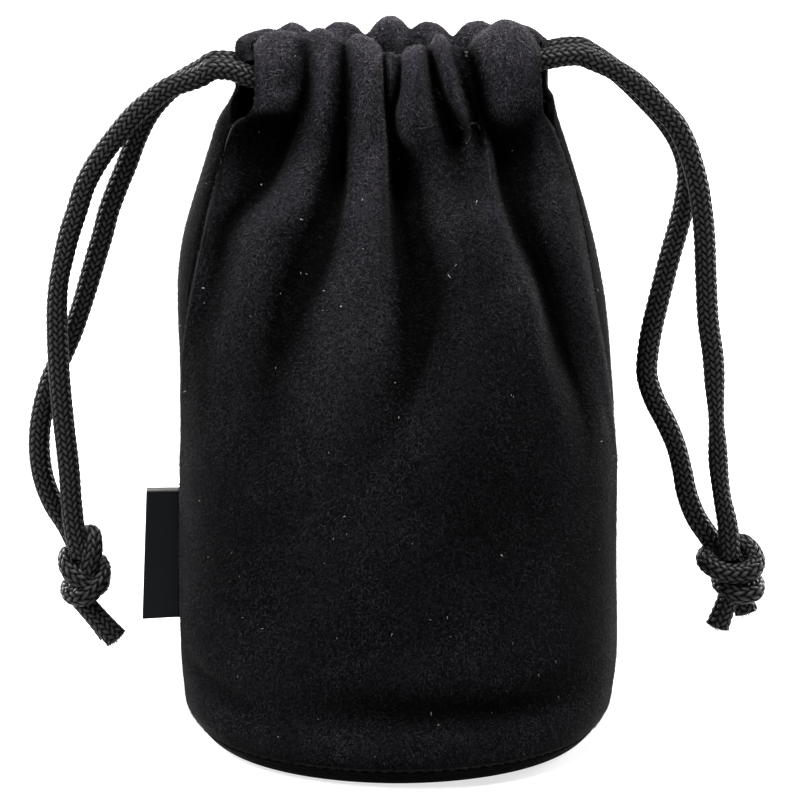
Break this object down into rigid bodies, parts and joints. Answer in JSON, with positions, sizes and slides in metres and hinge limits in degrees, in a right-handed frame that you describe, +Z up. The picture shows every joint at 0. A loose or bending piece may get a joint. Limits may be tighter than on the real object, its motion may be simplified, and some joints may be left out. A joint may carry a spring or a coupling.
{
  "type": "lens pouch",
  "caption": "Round-based soft suede drawstring pouch for a camera lens, standing with its gathered mouth drawn in and knotted braided cords hanging at both sides.",
  "frame": {"origin": "middle of the base's underside, on the surface that the pouch stands on", "axes": "+Z up through the mouth, -Y out of the front panel, +X to the right in the front view, away from the side label"},
  "size_m": [0.1474, 0.089, 0.1464],
  "materials": {
    "suede": "napped microfibre suede",
    "braid": "round braided cord with a slight sheen",
    "satin": "woven satin tape",
    "thread": "spun sewing thread",
    "foam": "soft foam sheet"
  },
  "bodies": {
    "pouch": {"base_dish": "suede", "base_pad": "foam", "base_lining": "suede", "front_panel": "suede", "back_panel": "suede", "front_hem": "suede", "back_hem": "suede", "base_seam_thread": "thread", "left_seam_thread": "thread", "right_seam_thread": "thread", "front_hem_thread": "thread", "back_hem_thread": "thread", "left_cord_run": "braid", "right_cord_run": "braid"},
    "label": {"side_label": "satin"},
    "left_cord": {"left_front_stub": "braid", "left_back_stub": "braid"},
    "left_loop": {"left_front_strand": "braid", "left_back_strand": "braid", "left_front_tail": "braid", "left_back_tail": "braid", "left_knot": "braid"},
    "right_cord": {"right_front_stub": "braid", "right_back_stub": "braid"},
    "right_loop": {"right_front_strand": "braid", "right_back_strand": "braid", "right_front_tail": "braid", "right_back_tail": "braid", "right_knot": "braid"}
  },
  "joints": [
    {"name": "left_cord_pull", "type": "slide", "parent": "pouch", "child": "left_cord", "axis": [-1, 0, 0], "range_m": [0, 0.009]},
    {"name": "left_cord_swing", "type": "hinge", "parent": "left_cord", "child": "left_loop", "pos_m": [-0.0354, 0, 0.1394], "axis": [1, 0, 0], "range_deg": [-70, 70]},
    {"name": "right_cord_pull", "type": "slide", "parent": "pouch", "child": "right_cord", "axis": [1, 0, 0], "range_m": [0, 0.009]},
    {"name": "right_cord_swing", "type": "hinge", "parent": "right_cord", "child": "right_loop", "pos_m": [0.0354, 0, 0.14225], "axis": [1, 0, 0], "range_deg": [-70, 70]},
    {"name": "label_flap", "type": "hinge", "parent": "pouch", "child": "label", "pos_m": [-0.0456, 0, 0.0385], "axis": [0, 0, 1], "range_deg": [-60, 60], "stiffness_Nm_per_rad": 0.0001}
  ]
}
